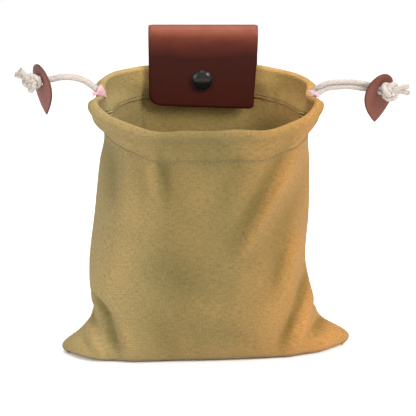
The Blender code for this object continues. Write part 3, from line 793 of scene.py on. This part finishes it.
def make_knot_cord(name, spec, material):
    """Overhand knot tied with both cords, and their cut, frayed tails."""
    sign, centre = spec["sign"], Vector(spec["knot"]) - Vector((spec["sign"] * 0.0012, 0, 0))
    axis = Vector((sign * 0.55, -1.0, 0.25)).normalized()
    side = Vector((0, 0, 1)).cross(axis).normalized()
    basis = Matrix((side, axis.cross(side), axis)).transposed()
    items = []
    for shift in (-1, 1):
        loop = []
        for i in range(96):
            t = 2 * math.pi * i / 96
            knot = [Vector((math.sin(u) + 2 * math.sin(2 * u), math.cos(u) - 2 * math.cos(2 * u), 0))
                    for u in (t - 0.01, t + 0.01)]
            outward = (knot[1] - knot[0]).cross(Vector((0, 0, 1))).normalized()
            flat = (knot[0] + knot[1]) / 2 * KNOT_SIZE + outward * shift * CORD * 0.42
            loop.append(centre + basis @ (flat - Vector((0, 0, KNOT_RISE * math.sin(3 * t)))))
        items.append(tube("wrap", loop + loop[:2], CORD / 2, material, sides=14, braid=0.10))
    rng = random.Random(name)
    for i, tip in enumerate(spec["tails"]):
        tip = Vector(tip)
        start = centre + (tip - centre).normalized() * 0.002 + Vector((0, (i - 0.5) * 0.003, 0))
        bend = start.lerp(tip, 0.55) + Vector((0, 0.0006 * (1 - 2 * i), 0.0008))
        path = curve_through((start, bend, tip), 0.0007)
        items.append(tube("tail", path, CORD / 2, material, sides=16, braid=0.10))
        out = (path[-1] - path[-3]).normalized()
        first = out.orthogonal().normalized()
        second = out.cross(first)
        for _ in range(26):
            a, r = rng.uniform(0, 2 * math.pi), CORD / 2 * math.sqrt(rng.uniform(0.02, 1.0))
            spread = first * math.cos(a) + second * math.sin(a)
            root = path[-1] - out * 0.001 + spread * r * 0.9
            end = root + out * rng.uniform(0.0012, 0.0026) + spread * rng.uniform(0.0, 0.0009)
            items.append(tube("fibre", [root, root.lerp(end, 0.5), end], 0.00033, material, sides=5))
    return join(name, items)


def tab_axes(spec):
    turn, pitch = math.radians(spec["turn"]), math.radians(spec["pitch"])
    level = Vector((spec["sign"] * math.cos(turn), -math.sin(turn), 0))
    normal = level * math.cos(pitch) - Vector((0, 0, math.sin(pitch)))
    return normal, level * math.sin(pitch) + Vector((0, 0, math.cos(pitch)))


def make_leaf(name, spec, leather, edge):
    """Leaf-shaped leather tab, punched for the cords, lightly dished, with a burnished edge."""
    normal, up = tab_axes(spec)
    across = up.cross(normal)
    hole = Vector(spec["hole"])
    widest = TAB_WIDEST * TAB_LENGTH
    half = []
    for i in range(25):
        a = math.pi / 2 * i / 24
        half.append((TAB_HALF * math.sin(a), widest * (1 - math.cos(a))))
    for i in range(1, 29):
        k = i / 28
        half.append((TAB_HALF * (1 - k ** 1.9), widest + (TAB_LENGTH - widest) * k))
    outline = half + [(-x, s) for x, s in reversed(half[1:-1])]
    thick = TAB_THICK / 2
    section = [(0.00, -0.7), (0.00, 0.7), (0.03, 0.95), (0.10, 1.0), (0.35, 1.0), (0.65, 1.0), (0.90, 1.0),
               (0.965, 0.90), (0.995, 0.5), (1.0, 0.0), (0.995, -0.5), (0.965, -0.90), (0.90, -1.0),
               (0.65, -1.0), (0.35, -1.0), (0.10, -1.0), (0.03, -0.95)]
    rows = []
    for share, height in section:
        row = []
        for x, s in outline:
            v = TAB_HOLE_DOWN - s
            angle = math.atan2(v, x)
            inner = (TAB_HOLE * math.cos(angle), TAB_HOLE * math.sin(angle))
            px, pv = mix(inner[0], x, share), mix(inner[1], v, share)
            dish = -0.0010 * (px / TAB_HALF) ** 2 + 0.0009 * smooth(-pv / 0.03)
            row.append(hole + across * px + up * pv + normal * (height * thick + dish))
        rows.append(row)
    rows.append(rows[0])
    item = grid_object(name, rows, leather, uv=lambda r, c: (c / 100, r / 17), wrap=True)
    weld(item, 1e-6)
    item.data.materials.append(edge)
    rims = len(outline)
    for i, face in enumerate(item.data.polygons):
        band = i // rims
        face.material_index = 1 if band in (0, 1, 7, 8, 9, 10) else 0
    return item


def weld(item, distance):
    bm = bmesh.new()
    bm.from_mesh(item.data)
    bmesh.ops.remove_doubles(bm, verts=bm.verts, dist=distance)
    bmesh.ops.recalc_face_normals(bm, faces=bm.faces)
    bm.to_mesh(item.data)
    bm.free()


# ---------------------------------------------------------------- leather strap and snap

LEATHER = 0.0025
STRAP_X, STRAP_HALF = -0.0025, 0.0488
STRAP_BOTTOM, STRAP_Y, FLAP_Y, FLAP_BOTTOM, FLAP_CORNER = 0.165, 0.05085, 0.03555, 0.222, 0.010
FOLD_Z, FOLD_TOP = 0.2871, 0.2947
FLAP_NARROWING, FLAP_SLANT = 0.0032, 0.035
FLAP_SQUARE = 0.0035         # rounding of the flap's right corner
SNAP_PLACE = (STRAP_X - 0.001, 0.0341, 0.247)


def strap_line():
    """(y, z) along the middle of the leather: up the back, over the fold, down the flap."""
    line = [(STRAP_Y, mix(STRAP_BOTTOM, FOLD_Z, i / 50)) for i in range(50)]
    middle, radius = (STRAP_Y + FLAP_Y) / 2, (STRAP_Y - FLAP_Y) / 2
    for i in range(25):
        a = math.pi * i / 24
        line.append((middle + radius * math.cos(a), FOLD_Z + (FOLD_TOP - FOLD_Z) * math.sin(a)))
    for i in range(1, 41):
        k = i / 40
        line.append((FLAP_Y + 0.0005 * math.sin(math.pi * k), mix(FOLD_Z, FLAP_BOTTOM, k)))
    return [Vector((0, y, z)) for y, z in line]


def corner_inset(radius, from_end):
    """How far a rounded corner draws the side in, at a distance from the end of the strip."""
    return radius - math.sqrt(max(0.0, radius ** 2 - max(0.0, radius - from_end) ** 2))


def make_strap(material):
    """One strip of leather: the back riveted to the canvas, the fold and the flap."""
    line = strap_line()
    reach = reach_along(line)
    columns = 34
    rows = []
    for i, point in enumerate(line):
        ahead = (line[min(i + 1, len(line) - 1)] - line[max(i - 1, 0)]).normalized()
        out = Vector((0, ahead.z, -ahead.y))
        from_end = min(reach[i], reach[-1] - reach[i])
        on_flap = point.y < (STRAP_Y + FLAP_Y) / 2
        corners = {-1: FLAP_CORNER, 1: FLAP_SQUARE if on_flap else FLAP_CORNER}
        half = {sign: STRAP_HALF - corner_inset(corners[sign], from_end) for sign in (-1, 1)}
        down = smooth((FOLD_Z - point.z) / (FOLD_Z - FLAP_BOTTOM)) if on_flap else 0.0
        thin = 0.55 + 0.45 * smooth(from_end / 0.0012)
        ring = []
        for s in (1, -1):
            for c in range(columns + 1):
                k = mix(-1, 1, c / columns) * s
                edge = smooth((1 - abs(k)) * STRAP_HALF / 0.0011)
                thick = LEATHER / 2 * mix(0.45, 1.0, edge) * thin
                x = half[1 if k > 0 else -1] * k - FLAP_NARROWING * down * (0.5 + 0.5 * k)
                place = Vector((STRAP_X + x, 0, -FLAP_SLANT * x * down))
                ring.append(place + point + out * thick * s)
        rows.append(ring)
    width = len(rows[0])
    return grid_object("strap", rows, material, wrap=True, caps=True,
                       uv=lambda r, c: (c / width * 0.2, reach[r]))


def lathe(name, centre, axis, profile, material, sides=48):
    """Turned part: profile is (distance along the axis, radius)."""
    axis = Vector(axis).normalized()
    first = axis.orthogonal().normalized()
    second = axis.cross(first)
    rows = []
    for depth, radius in profile:
        middle = Vector(centre) + axis * depth
        row = []
        for i in range(sides):
            a = 2 * math.pi * i / sides
            row.append(middle + (first * math.cos(a) + second * math.sin(a)) * radius)
        rows.append(row)
    return grid_object(name, rows, material, wrap=True, caps=True)


def cap_profile(radius=0.0097, crown=0.0036):
    """Snap cap from its back to the top of its dome: a rolled rim, a step, then the crown."""
    profile = [(0.0, radius * 0.96), (-0.0003, radius), (-0.0010, radius), (-0.0013, radius * 0.975),
               (-0.0013, radius * 0.93), (-0.0011, radius * 0.91)]
    for i in range(1, 13):
        a = math.pi / 2 * i / 13
        profile.append((-0.0011 - (crown - 0.0011) * math.sin(a) ** 0.9, radius * 0.91 * math.cos(a)))
    return profile


# Rose bartacks: fans of thread, each from a tight end to the two ends of its wide side.
BARTACKS = {
    "left_bartack": (((-0.0915, -0.0040, 0.2540), (-0.0960, -0.0062, 0.2450), (-0.0868, -0.0035, 0.2420), 16),
                     ((-0.0940, -0.0062, 0.2460), (-0.0990, -0.0070, 0.2478), (-0.0978, -0.0076, 0.2450), 6)),
    "right_bartack": (((0.0885, -0.0035, 0.2480), (0.0950, -0.0058, 0.2480), (0.0945, -0.0064, 0.2458), 7),
                      ((0.0930, -0.0058, 0.2470), (0.0992, -0.0060, 0.2452), (0.0982, -0.0068, 0.2432), 6)),
}


# ---------------------------------------------------------------- studio

def add_studio():
    scene = bpy.context.scene
    scene.view_settings.view_transform = "Standard"
    world = bpy.data.worlds.new("studio")
    world.use_nodes = True
    world.node_tree.nodes["Background"].inputs["Color"].default_value = (1, 1, 1, 1)
    world.node_tree.nodes["Background"].inputs["Strength"].default_value = 0.78
    scene.world = world
    bm = bmesh.new()
    bmesh.ops.create_grid(bm, x_segments=1, y_segments=1, size=6)
    mesh = bpy.data.meshes.new("floor")
    bm.to_mesh(mesh)
    bm.free()
    material, _, _, shader = shader_nodes("pale floor", 0.9)
    shader.inputs["Base Color"].default_value = (0.97, 0.97, 0.97, 1)
    shader.inputs["Specular IOR Level"].default_value = 0.1
    floor = new_object("floor", mesh, material)
    floor.location.z = -0.0003
    for name, place, size, power in (("key", (1.1, -0.9, 1.2), 0.6, 26), ("fill", (-1.2, -1.0, 0.7), 0.8, 8),
                                     ("top", (0.0, 0.1, 1.5), 0.7, 12)):
        light = bpy.data.lights.new(name, "AREA")
        light.energy = power
        light.size = size
        item = bpy.data.objects.new(name, light)
        item.location = place
        item.rotation_euler = (Vector((0, 0, 0.15)) - Vector(place)).to_track_quat("-Z", "Y").to_euler()
        scene.collection.objects.link(item)


def add_camera():
    azimuth, elevation, distance = 0.0, math.radians(20), 1.35
    target = Vector((0.0018, 0.0, 0.1379))
    away = Vector((math.sin(azimuth) * math.cos(elevation), -math.cos(azimuth) * math.cos(elevation),
                   math.sin(elevation)))
    data = bpy.data.cameras.new("camera")
    data.lens = 129.8
    data.sensor_width = 36
    camera = bpy.data.objects.new("camera", data)
    camera.location = target + away * distance
    camera.rotation_euler = (-away).to_track_quat("-Z", "Y").to_euler()
    bpy.context.scene.collection.objects.link(camera)
    bpy.context.scene.camera = camera


# ---------------------------------------------------------------- the pouch

add_camera()
add_studio()
CANVAS = canvas_material()
# The back wall, which lines the inside of the pouch, is painted 1.38 times brighter: painted light that
# offsets the shade inside.
BACK_CANVAS_PAINTED_BRIGHTER = canvas_material("khaki canvas, back, painted brighter", warmth=0.40, lift=1.38)
COTTON = cotton_material()
# Hem thread darker than the canvas, partly its own khaki colour and partly painted shade of the stitch holes.
THREAD_PAINTED_DARKER = thread_material("khaki thread, painted darker", (128, 106, 62))
OVERLOCK = thread_material("overlock thread", (190, 165, 92))
PINK = thread_material("rose thread", (228, 178, 186))
STRAP_LEATHER = strap_material()
BLACK = metal_material("black enamel", (26, 24, 22), 0.16, 0.2)
NICKEL = metal_material("nickel plate", (188, 184, 176), 0.30, 1.0)
BURNISHED = leather_material("burnished edge", (78, 44, 36), (100, 60, 50), 0.6, 0.1)

for side, spec in SIDES.items():
    knot = make_knot_cord(side + "_knot_cord", spec, COTTON)
    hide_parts(side + "_knot")
    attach(knot, side + "_pull")
    leaf = make_leaf(side + "_leaf_tab", spec, leather_material(side + " tab leather",
                     [c * 0.86 for c in spec["tint"]], spec["tint"], 0.62, 0.05), BURNISHED)
    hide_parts(side + "_tab")
    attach(leaf, side + "_leaf")
    for letter, path in cord_pair(spec).items():
        cord = tube("%s_drawcord_%s" % (side, letter), path, CORD / 2, COTTON, sides=16, braid=0.08)
        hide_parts("%s_cord_%s" % (side, letter))
        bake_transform(cord)

rows = wall_rows()
front, front_points, front_out = make_wall("front_canvas", -1, CANVAS)
back, back_points, back_out = make_wall("back_canvas", 1, BACK_CANVAS_PAINTED_BRIGHTER)
floor = make_floor(front_points, back_points, CANVAS)
stitching = {}
for name, points, out in (("front", front_points, front_out), ("back", back_points, back_out)):
    for place, below, inside in (("outer", HEM - 0.0020, False), ("inner", HEM - 0.0030, True)):
        line = surface_row(points, out, rows, below, inside)
        lift = -1 if inside else 1
        piece = stitch_row("%s_%s_stitches" % (name, place), line[4:-4], THREAD_PAINTED_DARKER, lift)
        stitching[name, place] = piece

for piece in (front, stitching["front", "outer"], stitching["front", "inner"]):
    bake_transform(piece)
for piece in (back, floor, stitching["back", "outer"], stitching["back", "inner"]):
    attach(piece, "root")
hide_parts("front_panel", "left_cord_front_run", "right_cord_front_run")
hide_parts("back_panel", "left_cord_back_run", "right_cord_back_run")
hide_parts("pouch_floor")

for side, sign in (("left", -1), ("right", 1)):
    strip, zigzag = make_seam(side + "_seam_allowance", sign, CANVAS, OVERLOCK)
    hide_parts(side + "_side_seam")
    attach(strip, "root")
    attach(zigzag, "root")

for name, fans in BARTACKS.items():
    tack = make_bartack(name, fans, PINK)
    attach(tack, "root")

strap = make_strap(STRAP_LEATHER)
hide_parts("leather_back", "leather_flap")
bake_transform(strap)
cap = lathe("snap_button", SNAP_PLACE, (0, 1, 0), cap_profile(), BLACK)
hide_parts("snap_cap")
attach(cap, "flap")
steel = ["snap_socket", "snap_stud"]
steel += [kind % i for i in (1, 2, 3, 4) for kind in ("rivet_%d", "rivet_washer_%d")]
for node in steel + ["snap_back_button"]:
    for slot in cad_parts[node].material_slots:
        slot.material = NICKEL if node in steel else BLACK
